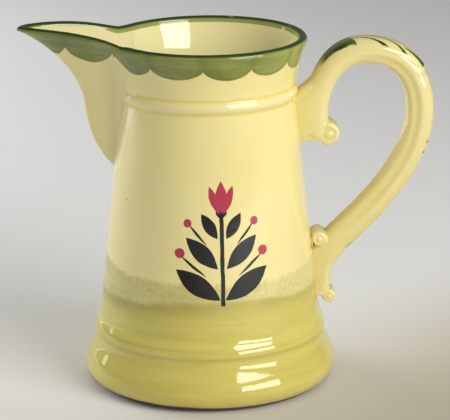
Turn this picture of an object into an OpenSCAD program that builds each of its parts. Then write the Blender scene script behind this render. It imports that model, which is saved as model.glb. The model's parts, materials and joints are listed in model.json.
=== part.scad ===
// Glazed earthenware pitcher: a tapered body on a rolled foot, a pulled
// pouring spout and a scrolled loop handle, luted together with slip.
// Millimetres. The foot stands on z = 0, the spout points to -X and the
// handle to +X.

/* [Body] */
// height of the lip above the table
rim_height = 180; // [172:1:190]
// outer radius of the rounded lip
rim_radius = 50.6; // [48.6:0.2:53]
// thickness of the rounded lip
lip_thickness = 4.6; // [3.6:0.1:5.4]
// thickness of the wall
wall = 4.6; // [3.6:0.1:5.6]
// thickness of the floor
floor_thickness = 4.6; // [3.6:0.1:6]
// outer radius of the wall just under the raised band
neck_radius = 44.2; // [42.6:0.2:46]
// outer radius of the wall just above the foot mouldings
waist_radius = 55.9; // [54.6:0.1:57]
// height at which the plain wall starts
waist_height = 41.4; // [40:0.2:44]

/* [Band under the lip] */
// distance from the lip down to the upper groove
groove_drop = 23.5; // [21.5:0.5:25.5]
// distance between the upper and the lower groove
band_height = 6.5; // [5:0.25:8]
// how far the band stands out of the wall
band_swell = 1.5; // [0.8:0.1:2.2]
// how deep each groove is cut
groove_depth = 0.5; // [0.2:0.05:0.8]

/* [Foot] */
// largest radius of the rolled foot
foot_radius = 64.6; // [63:0.2:66.6]
// radius of the roll itself
foot_roll = 7; // [6.4:0.1:7.6]
// height of the middle of the roll
foot_roll_height = 8; // [7.6:0.1:8.8]
// radius of the long bulge above the roll
foot_bulge = 27.2; // [24:0.2:30]
// height of the valley between bulge and bead
valley_height = 24.7; // [24:0.1:25.2]
// how far the valley sinks behind the bead
valley_depth = 1.5; // [0.8:0.1:2]
// outer radius of the unglazed ring that stands on the table
ring_radius = 53.6; // [52:0.2:54.6]
// width of the unglazed ring
ring_width = 4.2; // [3:0.1:5.4]
// how far the underside is sunk inside the ring
recess_depth = 2.6; // [1.6:0.1:3.4]
// outer radius of the bead above the foot
bead_radius = 59.3; // [58.6:0.1:60]
// height of the middle of the bead
bead_height = 30.4; // [29.8:0.1:31]
// radius of the bead's own curve
bead_roll = 8.3; // [7.6:0.1:9]

/* [Spout] */
// distance from the axis of the body to the tip
spout_reach = 95.3; // [88:0.5:102]
// how far the tip stands above the lip
spout_rise = 6.4; // [4:0.2:8]
// height at which the chin leaves the wall
chin_height = 112.5; // [106:0.5:118]
// half the width of the spout where it leaves the lip
spout_half_width = 24; // [21:0.5:26]
// thickness of the spout wall
spout_wall = 4.2; // [3.4:0.1:5]
// width of the cove between spout and body
cove_width = 3; // [2:0.25:4]

/* [Handle] */
// distance from the axis of the body to the middle of the strap, farthest out
handle_reach = 108.3; // [102:0.5:114]
// distance from the axis to the middle of the strap at its crown
crown_out = 80; // [76:0.5:84]
// distance from the lip down to the middle of the strap at its crown
crown_drop = 7.8; // [6:0.2:10]
// distance from the lip down to the farthest point
reach_drop = 39; // [35:0.5:43]
// width of the strap across the loop
strap_width = 18; // [15:0.5:21]
// thickness of the strap at its farthest point
strap_thickness = 14; // [12.5:0.1:15]
// thickness of the strap at its crown, under the leaf
crown_thickness = 12; // [11:0.1:13.5]
// depth of the flute along each side of the strap
flute_depth = 1.6; // [0.8:0.1:2]
// how far the thumb leaf stands up from the strap
leaf_rise = 1; // [0.6:0.1:1.6]
// radius of the upper scroll
upper_scroll = 6.2; // [5.4:0.1:7]
// radius of the lower scroll
lower_scroll = 5.8; // [5:0.1:6.6]
// radius of the scroll that ends the tail
tail_scroll = 3.9; // [3.4:0.1:4.4]
// thickness of the tail above its scroll
tail_thickness = 7; // [6:0.1:8]

/* [Joints] */
// thickness of the slip layer that luted each piece to the body
slip = 0.8; // [0.5:0.05:1.2]

/* [Hidden] */
// points round a turned surface
$fn = 96;

clay = [0.93, 0.88, 0.56];
slip_clay = [0.86, 0.80, 0.62];

// curves
function arc(cx, cz, r, from, to, n) =
    [for (i = [0:n]) let (a = from + (to - from) * i / n) [cx + r * cos(a), cz + r * sin(a)]];
function bow(a, b, c, n) =
    [for (i = [1:n]) let (t = i / n) (1 - t) * (1 - t) * a + 2 * t * (1 - t) * b + t * t * c];
function cubic(p, t) =
    let (s = 1 - t)
    s * s * s * p[0] + 3 * s * s * t * p[1] + 3 * s * t * t * p[2] + t * t * t * p[3];
function cubic_slope(p, t) =
    let (s = 1 - t)
    3 * s * s * (p[1] - p[0]) + 6 * s * t * (p[2] - p[1]) + 3 * t * t * (p[3] - p[2]);
function last(list) = list[len(list) - 1];
function but_last(list) = [for (i = [0:len(list) - 2]) list[i]];
function mix(a, b, t) = a + (b - a) * t;
function ease(t) = let (u = min(1, max(0, t))) u * u * (3 - 2 * u);

// body section
groove_top = rim_height - groove_drop;
groove_low = groove_top - band_height;
lip = lip_thickness / 2;
// the underside slopes up from the ring to the roll at this angle
under_slope = 14;
// the roll turns into the bulge, and the bulge into the valley, at these angles
roll_to = 12;
bulge_to = 38;
// the bead turns out of the valley and into the cove at these angles
bead_from = -29;
bead_to = 30;
// points along each curve of the outline
curve_steps = 8;
function pull(a, b, across, up) = [mix(a[0], b[0], across), mix(a[1], b[1], up)];
roll_middle = [foot_radius - foot_roll, foot_roll_height];
roll = arc(roll_middle[0], roll_middle[1], foot_roll, under_slope - 90, roll_to, curve_steps + 4);
bulge_middle = last(roll) - foot_bulge * [cos(roll_to), sin(roll_to)];
bulge = arc(bulge_middle[0], bulge_middle[1], foot_bulge, roll_to, bulge_to, curve_steps);
bead = arc(bead_radius - bead_roll, bead_height, bead_roll, bead_from, bead_to, curve_steps);
valley = [bead_radius - valley_depth, valley_height];
low_valley = bow(last(bulge), [valley[0], mix(last(bulge)[1], valley[1], 0.43)], valley, curve_steps / 2);
high_valley = bow(valley, [valley[0], mix(valley[1], bead[0][1], 0.53)], bead[0], curve_steps / 2);
waist = [waist_radius, waist_height];
cove = bow(last(bead), pull(last(bead), waist, 0.86, 0.5), waist, curve_steps);
// the neck grows by this much from the lower groove to the upper one
neck_growth = 0.8;
// each groove opens over this height
groove_edge = 1.1;
low_edge = [neck_radius, groove_low - groove_edge];
low_groove = [neck_radius - groove_depth, groove_low];
high_groove = [neck_radius + neck_growth - groove_depth, groove_top];
// outer radius of the plain wall at a height
function wall_at(z) = mix(waist_radius, neck_radius, (z - waist_height) / (low_edge[1] - waist_height));
band = bow(low_groove, [neck_radius + neck_growth / 2 + 2 * band_swell, (groove_low + groove_top) / 2],
    high_groove, curve_steps);
high_edge = [neck_radius + neck_growth, groove_top + groove_edge];
// the throat runs into the lip at this angle below its middle
lip_from = -22;
lip_start = [rim_radius - lip + lip * cos(lip_from), rim_height - lip + lip * sin(lip_from)];
throat = bow(high_edge, pull(high_edge, lip_start, 0.18, 0.5), lip_start, curve_steps);
outer_side = concat([[ring_radius, 0]], but_last(roll), bulge, low_valley, but_last(high_valley), bead, cove,
    [low_edge, low_groove], band, [high_edge], but_last(throat));
lip_round = arc(rim_radius - lip, rim_height - lip, lip, lip_from, 180, curve_steps + 4);

floor_top = recess_depth + floor_thickness;
// inside, the floor turns up into the wall in a small round
inner_roll_radius = 3.2;
inner_roll_off = 4.7;
inner_roll = arc(foot_radius - inner_roll_off - inner_roll_radius, floor_top + inner_roll_radius, inner_roll_radius,
    roll_to, -90, curve_steps);
inner_waist = [waist_radius - wall, waist_height];
inner_neck = [neck_radius - wall, groove_low];
inner_high = [neck_radius + neck_growth - wall, groove_top];
inner_throat = bow(last(lip_round), pull(inner_high, last(lip_round), 0.25, 0.5), inner_high, curve_steps);
inner_foot = bow(inner_waist, pull(inner_waist, inner_roll[0], 0.2, 0.6), inner_roll[0], curve_steps);
inner_side = concat(inner_throat, [inner_neck, inner_waist], but_last(inner_foot), inner_roll);
underside = [[0, floor_top], [0, recess_depth], [ring_radius - ring_width - recess_depth, recess_depth],
    [ring_radius - ring_width, 0]];

// solid outline of the body, grown sideways, that other pieces seat against;
// it runs on upwards inside the crest of the lip
lip_outside = arc(rim_radius - lip, rim_height - lip, lip, lip_from, 90, curve_steps);
module envelope(grow) {
    seat = [for (p = concat(outer_side, lip_outside)) [p[0] + grow, p[1]]];
    above = rim_height + 2 * spout_rise;
    rotate_extrude()
        polygon(concat([[0, 0]], seat, [[last(seat)[0], above], [0, above]]));
}

// spout: its keel leaves the wall at the chin, stands up to the waist of the
// keel and sweeps out to the tip
tip = [-spout_reach, rim_height + spout_rise];
chin_out = 3.3;
keel_out = 18;
keel_share = 0.48;
chin = [-(neck_radius + chin_out), chin_height];
keel_waist = [-(neck_radius + keel_out), mix(chin_height, rim_height, keel_share)];
chin_pull = [-0.65, -8.75];
waist_pull_low = [1.9, -15];
waist_pull_high = [-1.8, 18];
tip_pull = [15.3, -8.8];
low_keel = [chin, mix(chin, keel_waist, 0.5) + chin_pull, keel_waist + waist_pull_low, keel_waist];
high_keel = [keel_waist, keel_waist + waist_pull_high, tip + tip_pull, tip];
function keel(v) = v < 0.5 ? cubic(low_keel, 2 * v) : cubic(high_keel, 2 * v - 1);
function level_height(v) = mix(chin_height, rim_height, v);
// the spout widens steadily from the chin and flares at the lip by this share
lip_flare = 0.38;
function level_width(v) = spout_half_width * ((1 - lip_flare) * pow(v, 0.75) + lip_flare * pow(v, 5));
// the levels start inside the wall and leave it here
leave_x = -(neck_radius - 0.2);
root_x = leave_x + 8;
cove_length = 9;
side_steps = 13;
// share of the way to the keel, crowded towards the keel
function reach_share(i) = 1 - pow(1 - i / side_steps, 1.7);
function cove_at(x) = cove_width * pow(max(0, 1 - (leave_x - x) / cove_length), 2);
// how full the sides of a level are, and how early its rise comes
side_power = 0.58;
rise_power = 2.6;
function side_point(nose, width, z, cove_share, share) =
    let (x = mix(leave_x, nose[0], share))
    [x, width * pow(1 - share, side_power) + cove_share * cove_at(x),
        mix(z, nose[1], 1 - pow(1 - share, rise_power))];
function level(nose, width, z, cove_share) =
    let (side = concat([[root_x, width + cove_share * cove_width, z]],
            [for (i = [0:side_steps - 1]) side_point(nose, width, z, cove_share, reach_share(i))]))
    concat(side, [[nose[0], 0, nose[1]]],
        [for (i = [len(side) - 1:-1:0]) [side[i][0], -side[i][1], side[i][2]]]);

// skin over a stack of rings, all with the same number of points; an end that
// is not flat is closed by strips between the mirrored halves of its ring
module skin(rings, flat_ends) {
    count = len(rings[0]);
    half = floor(count / 2);
    top = (len(rings) - 1) * count;
    sides = [for (i = [0:len(rings) - 2]) for (j = [0:count - 1])
        let (a = i * count + j, b = i * count + (j + 1) % count)
        each [[a, a + count, b], [b, a + count, b + count]]];
    flat = [[for (j = [0:count - 1]) j]];
    strips = [for (j = [0:half - 1]) each [[j, j + 1, count - 1 - j],
        if (j + 1 < count - 2 - j) [j + 1, count - 2 - j, count - 1 - j]]];
    low_end = flat_ends ? flat : strips;
    high_end = [for (f = low_end) [for (j = [len(f) - 1:-1:0]) f[j] + top]];
    polyhedron(points = [for (r = rings) each r], faces = concat(sides, low_end, high_end));
}

level_steps = 20;
lip_steps = 4;
first_level = 0.012;
spout_lip = spout_wall / 2;
// the levels make room for the rounded lip as they near it
function lip_room(v) = spout_lip * pow(v, 6);
module spout_outside() {
    low = [for (i = [0:level_steps])
        let (v = mix(first_level, 1, i / level_steps), drop = lip_room(v))
        level(keel(v) + [0, -drop], level_width(v), level_height(v) - drop, 1)];
    high = [for (i = [1:lip_steps])
        let (a = 90 * i / lip_steps, inset = spout_lip * (1 - cos(a)), up = spout_lip * sin(a))
        level(tip + [inset, up - spout_lip], level_width(1) - inset,
            rim_height + up - spout_lip, 1)];
    skin(concat(low, high), false);
}

// hollow of the spout, carried on through the wall into the body
channel_start = 0.2;
channel_steps = 14;
channel_over = 12;
channel_lift = 2.5;
narrowest = 0.4;
function channel_nose(v) =
    keel(v) + [spout_wall * mix(1.05, 1.5, ease(v)), channel_lift * (1 - ease(v))];
function channel_width(v) = max(narrowest, level_width(v) - spout_wall);
module channel() {
    low = [for (i = [0:channel_steps])
        let (v = mix(channel_start, 1, i / channel_steps), drop = lip_room(v))
        level(channel_nose(v) + [0, -drop], channel_width(v), level_height(v) - drop, 0)];
    high = [for (i = [1:lip_steps])
        let (a = 80 * i / lip_steps, outset = spout_lip * (1 - cos(a)), up = spout_lip * sin(a))
        level(channel_nose(1) + [-outset, up - spout_lip], channel_width(1) + outset,
            rim_height + up - spout_lip, 0)];
    over = [level(channel_nose(1) + [-spout_lip, channel_over], channel_width(1) + spout_lip,
        rim_height + channel_over, 0)];
    skin(concat(low, high, over), false);
}

// handle: the middle of the strap runs through curl, root, crown, far point,
// heel and tail
strap_off_wall = 11;
root_drop = 41;
curl_drop = 55.5;
heel_off_wall = 13.4;
heel_up = 30.1;
tail_out = 2.7;
tail_up = 1.4;
curl = [neck_radius + strap_off_wall, rim_height - curl_drop];
root = [neck_radius + strap_off_wall, rim_height - root_drop];
crown = [crown_out, rim_height - crown_drop];
far = [handle_reach, rim_height - reach_drop];
heel = [wall_at(waist_height + heel_up) + heel_off_wall, waist_height + heel_up];
tail = [waist_radius + tail_out, waist_height + tail_up];
// pulls that round the path at each of these places
curl_pull = [0, 5];
root_pull = [0, 17];
crown_pull_in = [14, 0];
crown_pull_out = [18, 0];
far_pull_up = [0, 21];
far_pull_down = [0, 20];
heel_pull_up = [17, 21.5];
heel_pull_down = [5.5, 7];
tail_pull = [-0.4, 12];
strap_path = [
    [curl, curl + curl_pull, root - curl_pull, root],
    [root, root + root_pull, crown - crown_pull_in, crown],
    [crown, crown + crown_pull_out, far + far_pull_up, far],
    [far, far - far_pull_down, heel + heel_pull_up, heel],
    [heel, heel - heel_pull_down, tail + tail_pull, tail]];
// each scroll sits beside the path
upper_scroll_at = curl + [6.1, 4.8];
lower_scroll_at = heel + [-8.5, 0.6];
tail_scroll_at = tail + [2.8, -0.7];

section_points = 28;
// thumb leaf: grows from the root, ends in a step past the crown
leaf_start = 1.35;
leaf_length = 0.75;
leaf_end = 2.62;
leaf_step = 0.05;
function leaf_at(p) =
    leaf_rise * ease((p - leaf_start) / leaf_length) * (1 - ease((p - leaf_end) / leaf_step));
// the strap reaches this much deeper where it hugs the wall
root_web = 9;
web_end = 1.12;
web_fade = 0.5;
tail_web = 4;
function loop_depth(p) = mix(crown_thickness, strap_thickness, ease(p - 2));
function strap_depth(p) = mix(loop_depth(p), tail_thickness, ease((p - 4.05) / 0.6));
function strap_out(p) =
    strap_depth(p) / 2 + root_web * (1 - ease((p - web_end) / web_fade)) + leaf_at(p);
function strap_in(p) =
    loop_depth(p) / 2 + tail_web * ease((p - 4) / 0.4);
function strap_half(p) = strap_width / 2 * (1 - 0.12 * ease(p - 4)) * (0.9 + 0.1 * ease(p / 0.3));
function signed_pow(a, e) = sign(a) * pow(abs(a), e);
// the sides are hollowed by the flute from the crown down to the heel, nearer to the inner edge
flute_spread = 0.4;
flute_inward = 0.2;
function flute_at(p) = flute_depth * ease((p - 1.75) / 0.6) * (1 - ease((p - 3.7) / 0.3));
function section_point(p, k) =
    let (a = 360 * (k + 0.5) / section_points,
        n = signed_pow(sin(a), sin(a) > 0 ? 0.95 : 0.8),
        side = signed_pow(cos(a), 0.62))
    [n * (n > 0 ? strap_out(p) : strap_in(p)),
        side * (strap_half(p) - flute_at(p) * exp(-pow((n + flute_inward) / flute_spread, 2)))];
function strap_ring(p) =
    let (seg = min(len(strap_path) - 1, floor(p)),
        t = p - seg,
        at = cubic(strap_path[seg], t),
        d = cubic_slope(strap_path[seg], t),
        run = d / norm(d),
        out = [-run[1], run[0]])
    [for (k = [0:section_points - 1])
        let (s = section_point(p, k))
        [at[0] + out[0] * s[0], s[1], at[1] + out[1] * s[0]]];
near_steps = 28;
far_steps = 34;
module strap() {
    to_leaf = [for (i = [0:near_steps]) leaf_end * i / near_steps];
    past_leaf = [for (i = [0:far_steps]) mix(leaf_end + leaf_step, len(strap_path), i / far_steps)];
    stations = concat(to_leaf, [leaf_end + leaf_step / 2], past_leaf);
    skin([for (p = stations) strap_ring(p)], true);
}

// rolled end of the strap: a drum across the loop with a button on each side
// that stands a little out of the rounded edge
button_share = 0.52;
edge_share = 0.3;
button_rise = 0.5;
button_sink = 1.2;
module scroll(at, radius, half_width) {
    ball = 1.3 * button_share * radius;
    edge = edge_share * radius;
    dome = arc(0, half_width + button_rise - ball, ball, 70, 48, 4);
    rim = arc(radius - edge, half_width - edge, edge, 110, 0, 6);
    half = concat([[0, dome[0][1]]], dome, [[radius - 2 * edge, half_width - button_sink]], rim);
    other = [for (i = [len(half) - 1:-1:0]) [half[i][0], -half[i][1]]];
    translate([at[0], 0, at[1]])
        rotate([90, 0, 0])
            rotate_extrude($fn = 48)
                polygon(concat(half, other));
}

module handle_outside() {
    union() {
        strap();
        scroll(upper_scroll_at, upper_scroll, strap_half(0) + button_rise);
        scroll(lower_scroll_at, lower_scroll, strap_half(4) + button_rise / 2);
        scroll(tail_scroll_at, tail_scroll, strap_half(len(strap_path)) + button_rise);
    }
}

// height half-way between the two joints of the handle
part_height = (curl[1] + heel[1]) / 2;

module body() {
    color(clay)
        difference() {
            rotate_extrude()
                polygon(concat(outer_side, lip_round, inner_side, underside));
            channel();
        }
}

module spout() {
    color(clay)
        difference() {
            spout_outside();
            channel();
            envelope(slip);
        }
}

module handle() {
    color(clay)
        difference() {
            handle_outside();
            envelope(slip);
        }
}

module spout_slip() {
    color(slip_clay)
        difference() {
            intersection() {
                spout_outside();
                envelope(slip);
            }
            channel();
            envelope(0);
        }
}

module handle_slip(from, to) {
    color(slip_clay)
        difference() {
            intersection() {
                handle_outside();
                envelope(slip);
                translate([0, -strap_width, from])
                    cube([handle_reach, 2 * strap_width, to - from]);
            }
            envelope(0);
        }
}

module upper_handle_slip() {
    handle_slip(part_height, rim_height);
}

module lower_handle_slip() {
    handle_slip(0, part_height);
}

body();
spout();
handle();
spout_slip();
upper_handle_slip();
lower_handle_slip();
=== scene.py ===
import json
import math

import bpy
import numpy as np
from mathutils import Matrix, Vector

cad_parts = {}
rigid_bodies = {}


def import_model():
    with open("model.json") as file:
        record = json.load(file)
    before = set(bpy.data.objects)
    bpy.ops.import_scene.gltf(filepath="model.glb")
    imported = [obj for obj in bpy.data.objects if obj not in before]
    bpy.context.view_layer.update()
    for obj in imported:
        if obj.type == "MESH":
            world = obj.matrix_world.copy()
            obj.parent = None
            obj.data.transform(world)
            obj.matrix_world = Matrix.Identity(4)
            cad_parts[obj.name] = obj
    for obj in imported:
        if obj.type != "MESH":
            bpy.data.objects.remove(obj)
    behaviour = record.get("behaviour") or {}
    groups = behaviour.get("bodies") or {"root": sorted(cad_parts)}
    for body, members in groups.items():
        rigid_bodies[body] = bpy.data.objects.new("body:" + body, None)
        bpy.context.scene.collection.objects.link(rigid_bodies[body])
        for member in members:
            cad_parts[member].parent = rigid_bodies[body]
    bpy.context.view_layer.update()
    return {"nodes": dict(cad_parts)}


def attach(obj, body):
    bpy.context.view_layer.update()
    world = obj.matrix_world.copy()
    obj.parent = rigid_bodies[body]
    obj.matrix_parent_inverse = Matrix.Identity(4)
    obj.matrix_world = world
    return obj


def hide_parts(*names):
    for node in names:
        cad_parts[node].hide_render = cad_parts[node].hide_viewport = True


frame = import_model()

MM = 0.001


# curves, in millimetres


def arc(middle, radius, start, stop, steps):
    turns = [math.radians(start + (stop - start) * i / steps) for i in range(steps + 1)]
    return [(middle[0] + radius * math.cos(a), middle[1] + radius * math.sin(a)) for a in turns]


def mix(a, b, share):
    return a + (b - a) * share


def ease(share):
    t = min(1.0, max(0.0, share))
    return t * t * (3 - 2 * t)


def bow(a, b, c, steps):
    """A bent line from a to c, drawn towards b, without its first point."""
    shares = [i / steps for i in range(1, steps + 1)]
    return [
        tuple((1 - t) ** 2 * a[k] + 2 * t * (1 - t) * b[k] + t * t * c[k] for k in (0, 1))
        for t in shares
    ]


def pull(a, b, across, up):
    """A point between two others, by one share across and another up."""
    return (mix(a[0], b[0], across), mix(a[1], b[1], up))


def cubic(p, t):
    s = 1 - t
    return tuple(
        s**3 * p[0][k] + 3 * s * s * t * p[1][k] + 3 * s * t * t * p[2][k] + t**3 * p[3][k]
        for k in (0, 1)
    )


def cubic_slope(p, t):
    s = 1 - t
    first, second, third = ([b - a for a, b in zip(p[i], p[i + 1])] for i in range(3))
    return tuple(
        3 * s * s * first[k] + 6 * s * t * second[k] + 3 * t * t * third[k] for k in (0, 1)
    )


# body section, radius and height, with angles in degrees


RIM_HEIGHT = 180.0
LIP_ROUND = 2.3
LIP_MIDDLE = (48.3, 177.7)
LIP_START = -22
NECK = (44.34, 147.6)
WAIST = (55.9, 41.4)
WALL = 4.6
FLOOR_TOP = 7.2
RECESS_TOP = 2.6
ROLL_END = 14
BULGE_ROUND = 27.2
LOW_GROOVE = (44.2, 148.7)
HIGH_GROOVE = (44.5, 155.2)


def lip_reach(z):
    """How far the lip stands out from its middle at a height."""
    return math.sqrt(max(0.0, LIP_ROUND**2 - (z - LIP_MIDDLE[1]) ** 2))


def wall_outside(z):
    """Outer radius of the wall at a height, from the waist to the top of the lip."""
    if z <= LOW_GROOVE[1]:
        return mix(WAIST[0], NECK[0], (z - WAIST[1]) / (NECK[1] - WAIST[1]))
    if z > lip_foot[1]:
        return LIP_MIDDLE[0] + lip_reach(z)
    heights = [LOW_GROOVE[1]] + [p[1] for p in throat]
    radii = [NECK[0]] + [p[0] for p in throat]
    return float(np.interp(z, heights, radii))


def wall_inside(z):
    if z > LIP_MIDDLE[1]:
        return LIP_MIDDLE[0] - lip_reach(z)
    heights = [WAIST[1], LOW_GROOVE[1]] + [p[1] for p in reversed(inner_throat)]
    radii = [WAIST[0] - WALL, NECK[0] - WALL] + [p[0] for p in reversed(inner_throat)]
    return float(np.interp(z, heights, radii))


def wall_middle(z):
    return LIP_MIDDLE[0] if z > LIP_MIDDLE[1] else (wall_outside(z) + wall_inside(z)) / 2


foot_roll = arc((55.8, 9.4), 8.8, -76, ROLL_END, 9)
bulge_middle = tuple(
    foot_roll[-1][k] - BULGE_ROUND * f(math.radians(ROLL_END))
    for k, f in ((0, math.cos), (1, math.sin))
)
foot_bulge = arc(bulge_middle, BULGE_ROUND, ROLL_END, 27, 5)
low_valley = [(61.4, 18.9), (60.65, 20.5), (60.05, 22.0), (59.62, 23.4)]
valley = [(59.38, 24.8), (59.24, 26.0), (59.12, 26.8)]
bead = arc((47.9, 27.2), 11.6, 2, 31, 5)
cove = [(57.2, 34.5), (56.78, 36.4), (56.36, 38.8), WAIST]
plain_wall = [
    (mix(WAIST[0], NECK[0], t), mix(WAIST[1], NECK[1], t))
    for t in (0.12, 0.28, 0.46, 0.64, 0.8, 0.92, 0.98, 1)
]
raised_band = bow(LOW_GROOVE, (47.15, 151.95), HIGH_GROOVE, 6)
throat_foot = (44.9, 156.3)
lip = arc(LIP_MIDDLE, LIP_ROUND, LIP_START, 180, 12)
lip_foot = lip[0]
throat = [throat_foot] + bow(throat_foot, pull(throat_foot, lip_foot, 0.18, 0.5), lip_foot, 7)
inner_throat = [
    lip[-1], (44.6, 174.2), (43.2, 170.7), (41.9, 167.3), (40.9, 164.3),
    (40.25, 161.5), (39.95, 158.6), (39.8, 155.6),
]
inner_wall = [
    (mix(NECK[0], WAIST[0], t) - WALL, mix(LOW_GROOVE[1], WAIST[1], t))
    for t in (0, 0.15, 0.35, 0.55, 0.75, 0.9, 1)
]
inner_roll = arc((56.7, 10.4), 3.2, 12, -90, 5)
inner_foot = bow(inner_wall[-1], pull(inner_wall[-1], inner_roll[0], 0.2, 0.6), inner_roll[0], 6)
floor_line = [(radius, FLOOR_TOP) for radius in (44, 24, 8, 0)]
recess = [(radius, RECESS_TOP) for radius in (0, 8, 24, 42, 46.4)]
foot_ring = [(46.9, 2.5), (49.2, 0.2), (49.6, 0.0), (51.5, 0.0), (53.2, 0.0), (53.7, 0.1)]
body_section = (
    recess + foot_ring + foot_roll[:-1] + foot_bulge + low_valley + valley + bead + cove
    + plain_wall + [LOW_GROOVE] + raised_band + throat[:-1] + lip + inner_throat[1:]
    + inner_wall + inner_foot[:-1] + inner_roll + floor_line
)


# spout levels: the keel leaves the wall at the chin and sweeps out to the tip


SPOUT_WALL = 4.2
SPOUT_HALF_WIDTH = 24.0
CHIN_HEIGHT = 112.5
TIP = (-95.3, 186.4)
LEAVE_X = -44.0
CREST_SWEEP = 2.6
LEVEL_STEPS = 22
chin = (-47.5, CHIN_HEIGHT)
keel_waist = (-62.2, 144.9)
low_keel = [chin, (-55.5, 119.95), (-60.3, 129.9), keel_waist]
high_keel = [keel_waist, (-64.0, 162.9), (-80.0, 177.6), TIP]


def keel(v):
    return cubic(low_keel, 2 * v) if v < 0.5 else cubic(high_keel, 2 * v - 1)


def level_width(v):
    return SPOUT_HALF_WIDTH * (0.62 * v**0.75 + 0.38 * v**5)


def level_side(nose, width, z, cove_width):
    """One side of a level, from where it leaves the wall to the nose."""
    side = []
    for i in range(LEVEL_STEPS + 1):
        share = 1 - (1 - i / LEVEL_STEPS) ** 1.7
        x = mix(LEAVE_X, nose[0], share)
        swell = cove_width * max(0.0, 1 - (LEAVE_X - x) / 7.5) ** 2
        y = width * (1 - share) ** 0.58 + swell * (1 - ease((share - 0.6) / 0.4))
        side.append((x, y, mix(z, nose[1], 1 - (1 - share) ** CREST_SWEEP)))
    return side


def mirrored(side):
    """Both halves of a row that runs to the middle plane."""
    return side + [(x, -y, z) for x, y, z in reversed(side[:-1])]


# handle path, from the curl under the root up over the crown and down to the tail


CURL = (55.2, 124.5)
ROOT = (55.2, 139.0)
CROWN = (80.0, 170.2)
FAR = (108.2, 139.5)
HEEL = (65.7, 71.7)
TAIL = (58.6, 42.8)
strap_path = [
    [CURL, (55.2, 129.5), (55.2, 134.0), ROOT],
    [ROOT, (55.2, 155.0), (65.0, 170.4), CROWN],
    [CROWN, (95.8, 170.1), (108.2, 160.4), FAR],
    [FAR, (108.2, 114.6), (88.2, 92.4), HEEL],
    [HEEL, (60.55, 64.5), (58.2, 54.8), TAIL],
]
STRAP_HALF = 9.0
FLUTE_DEPTH = 1.05
LEAF_END = 2.62
LEAF_STEP = 0.05


def leaf_rise(p):
    return 1.4 * ease((p - 1.2) / 0.6) * (1 - ease((p - LEAF_END) / LEAF_STEP))


def flute_depth(p):
    """The sides are hollowed from the crown down to the heel."""
    return FLUTE_DEPTH * ease((p - 1.75) / 0.6) * (1 - ease((p - 3.7) / 0.3))


def loop_depth(p):
    return mix(12.0, 14.0, ease(p - 2))


def strap_outer(p):
    depth = mix(loop_depth(p), 7.0, ease((p - 4.05) / 0.6))
    return depth / 2 + 9 * (1 - ease((p - 1.06) / 0.3)) + leaf_rise(p)


def strap_inner(p):
    return loop_depth(p) / 2 + 4 * ease((p - 4) / 0.4)


def strap_half(p):
    return STRAP_HALF * (1 - 0.12 * ease(p - 4)) * (0.9 + 0.1 * ease(p / 0.3))


def signed_power(a, e):
    return math.copysign(abs(a) ** e, a)


def strap_ring(p, points):
    """A closed line round the strap, with its fluted sides and the leaf on its back."""
    piece = min(len(strap_path) - 1, int(p))
    at = cubic(strap_path[piece], p - piece)
    run = Vector(cubic_slope(strap_path[piece], p - piece)).normalized()
    out = (-run[1], run[0])
    ring = []
    for k in range(points + 1):
        a = math.tau * (k + 0.5) / points
        n = signed_power(math.sin(a), 0.95 if math.sin(a) > 0 else 0.8)
        hollow = flute_depth(p) * math.exp(-(((n + 0.38) / 0.32) ** 2))
        side = signed_power(math.cos(a), 0.62) * (strap_half(p) - hollow)
        reach = n * (strap_outer(p) if n > 0 else strap_inner(p))
        x, z = at[0] + out[0] * reach, at[1] + out[1] * reach
        arch = 2.6 * math.exp(-(((x - 51.5) / 2.6) ** 2)) * (1 - ease(p / 0.5))
        ring.append(stay_in_wall((x, side, z + arch)))
    return ring


def stay_in_wall(point):
    """Keeps the buried side of a piece inside the wall of the body."""
    x, y, z = point
    radius = math.hypot(x, y)
    least = wall_middle(z)
    if z < WAIST[1] or radius >= least:
        return point
    return (x * least / radius, y * least / radius, z)


# spout skin: rows that run off the wall of the body, out along the spout to its nose


ROW_POINTS = 96
LAP = 11.0
LAP_STEPS = 12
SKIN_CLEAR = 0.03
SINK = 1.4
STEEPEST = 0.95
CORNER_REACH = 9.0
SKIN_LEVELS = 60
LIP_LEVELS = 12
LIP_SOFTENING = 110
CHANNEL_SOFTENING = 150
CHANNEL_START = 0.3
NOTCH_LEVELS = 24


def spaced(line, count):
    """The same line with points closer together towards its end."""
    line = np.array(line)
    run = np.concatenate([[0.0], np.cumsum(np.linalg.norm(np.diff(line, axis=0), axis=1))])
    shares = np.arange(count + 1) / count
    places = run[-1] * (1 - (1 - shares) ** 1.35)
    return np.stack([np.interp(places, run, line[:, k]) for k in range(3)], axis=1)


def softened(line, corner, reach, turns):
    """Rounds the corner where the spout leaves the wall, fading out over a reach."""
    line = line.copy()
    away = np.linalg.norm(line[:, :2] - np.array(corner), axis=1)
    near = np.exp(-((away / reach) ** 2))[1:-1, None]
    for _ in range(turns):
        line[1:-1, :2] += 0.5 * near * ((line[:-2, :2] + line[2:, :2]) / 2 - line[1:-1, :2])
    return line


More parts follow.
